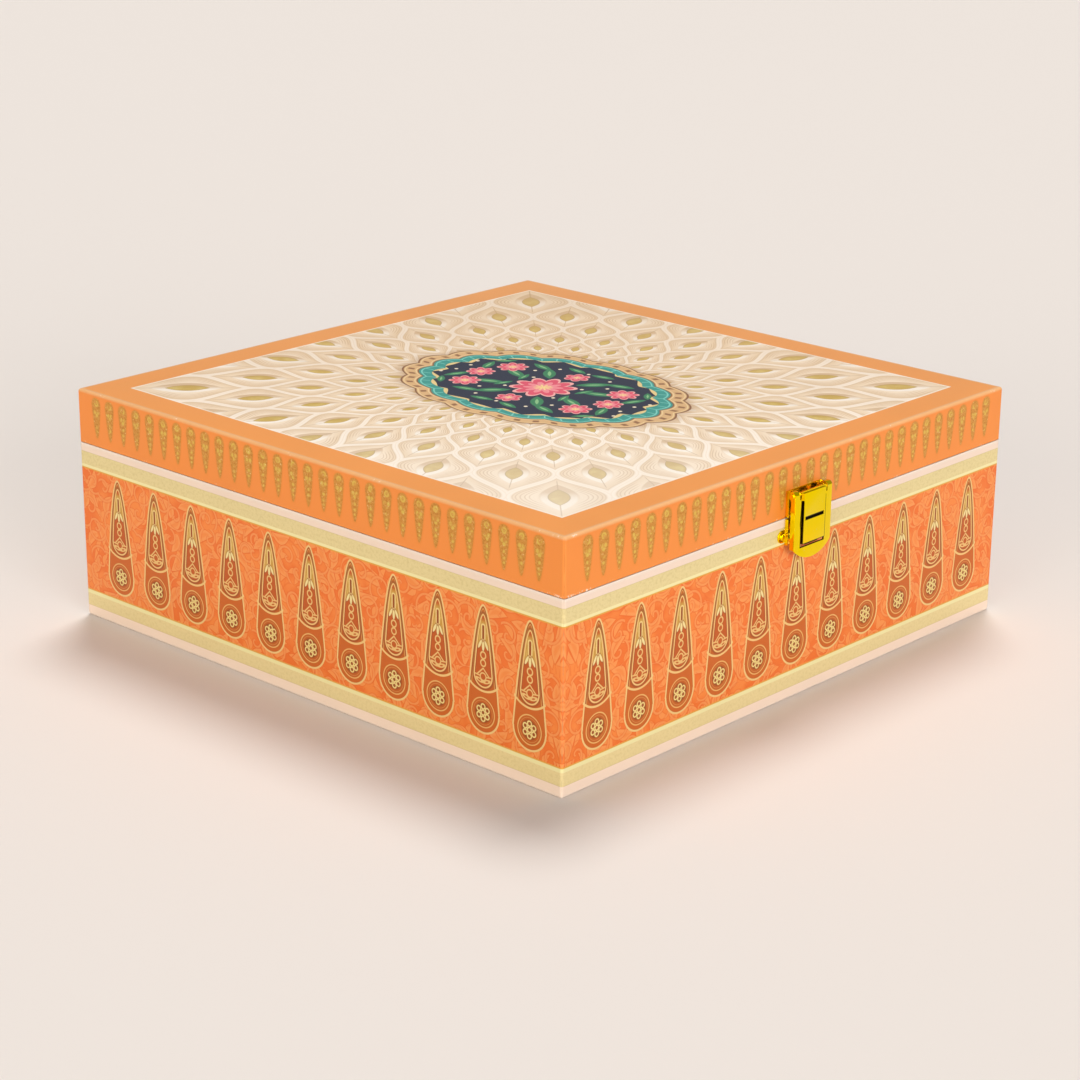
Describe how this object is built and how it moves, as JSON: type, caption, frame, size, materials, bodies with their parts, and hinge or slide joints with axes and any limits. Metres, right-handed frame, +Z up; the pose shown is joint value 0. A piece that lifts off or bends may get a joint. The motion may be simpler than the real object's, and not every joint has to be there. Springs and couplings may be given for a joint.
{
  "type": "mithai sweet box",
  "caption": "Square hinged sweet box of paper-wrapped board with a printed lid, card partition, back hinges and a gilt drop-flap latch.",
  "frame": {"origin": "centre of the flat face that the box stands on", "axes": "+Z up through the lid, -Y out of the latch wall, +X to the right as the latch wall is seen"},
  "size_m": [0.2794, 0.2928, 0.102],
  "materials": {
    "base_print": "satin printed art paper, orange foliage with banded edges",
    "lid_print": "satin printed art paper, orange with a row of gold drops",
    "lid_top_print": "satin printed art paper, cream with a radial leaf lattice",
    "wall_board": "matt fibre board",
    "lining_paper": "matt cream lining paper",
    "under_paper": "matt plain paper",
    "partition_card": "matt coated card",
    "latch_metal": "bright gold-plated pressed steel",
    "hinge_metal": "bright gold-plated pressed steel"
  },
  "bodies": {
    "base": {"base_front_board": "wall_board", "base_back_board": "wall_board", "base_left_board": "wall_board", "base_right_board": "wall_board", "base_floor_board": "wall_board", "base_front_paper": "base_print", "base_back_paper": "base_print", "base_left_paper": "base_print", "base_right_paper": "base_print", "base_under_sheet": "under_paper", "base_wall_lining": "lining_paper", "base_floor_lining": "lining_paper", "divider_lengthwise_1": "partition_card", "divider_lengthwise_2": "partition_card", "divider_crosswise_1": "partition_card", "divider_crosswise_2": "partition_card", "hinge_base_leaf_left": "hinge_metal", "hinge_base_leaf_right": "hinge_metal", "hinge_pin_left": "hinge_metal", "hinge_pin_right": "hinge_metal", "hinge_base_nails": "hinge_metal", "latch_catch_plate": "latch_metal", "latch_catch_nails": "latch_metal"},
    "lid": {"lid_front_board": "wall_board", "lid_back_board": "wall_board", "lid_left_board": "wall_board", "lid_right_board": "wall_board", "lid_top_board": "wall_board", "lid_front_paper": "lid_print", "lid_back_paper": "lid_print", "lid_left_paper": "lid_print", "lid_right_paper": "lid_print", "lid_top_sheet": "lid_top_print", "lid_wall_lining": "lining_paper", "lid_top_lining": "lining_paper", "hinge_lid_leaf_left": "hinge_metal", "hinge_lid_leaf_right": "hinge_metal", "hinge_lid_nails": "hinge_metal", "latch_lid_plate": "latch_metal", "latch_lid_nails": "latch_metal", "latch_pin": "latch_metal"},
    "latch_flap": {"latch_flap": "latch_metal"}
  },
  "joints": [
    {"name": "lid_hinge", "type": "hinge", "parent": "base", "child": "lid", "pos_m": [0, 0.1419, 0.0786], "axis": [-1, 0, 0], "range_deg": [0, 105]},
    {"name": "flap_hinge", "type": "hinge", "parent": "lid", "child": "latch_flap", "pos_m": [0, -0.1433, 0.0885], "axis": [-1, 0, 0], "range_deg": [0, 150]}
  ]
}
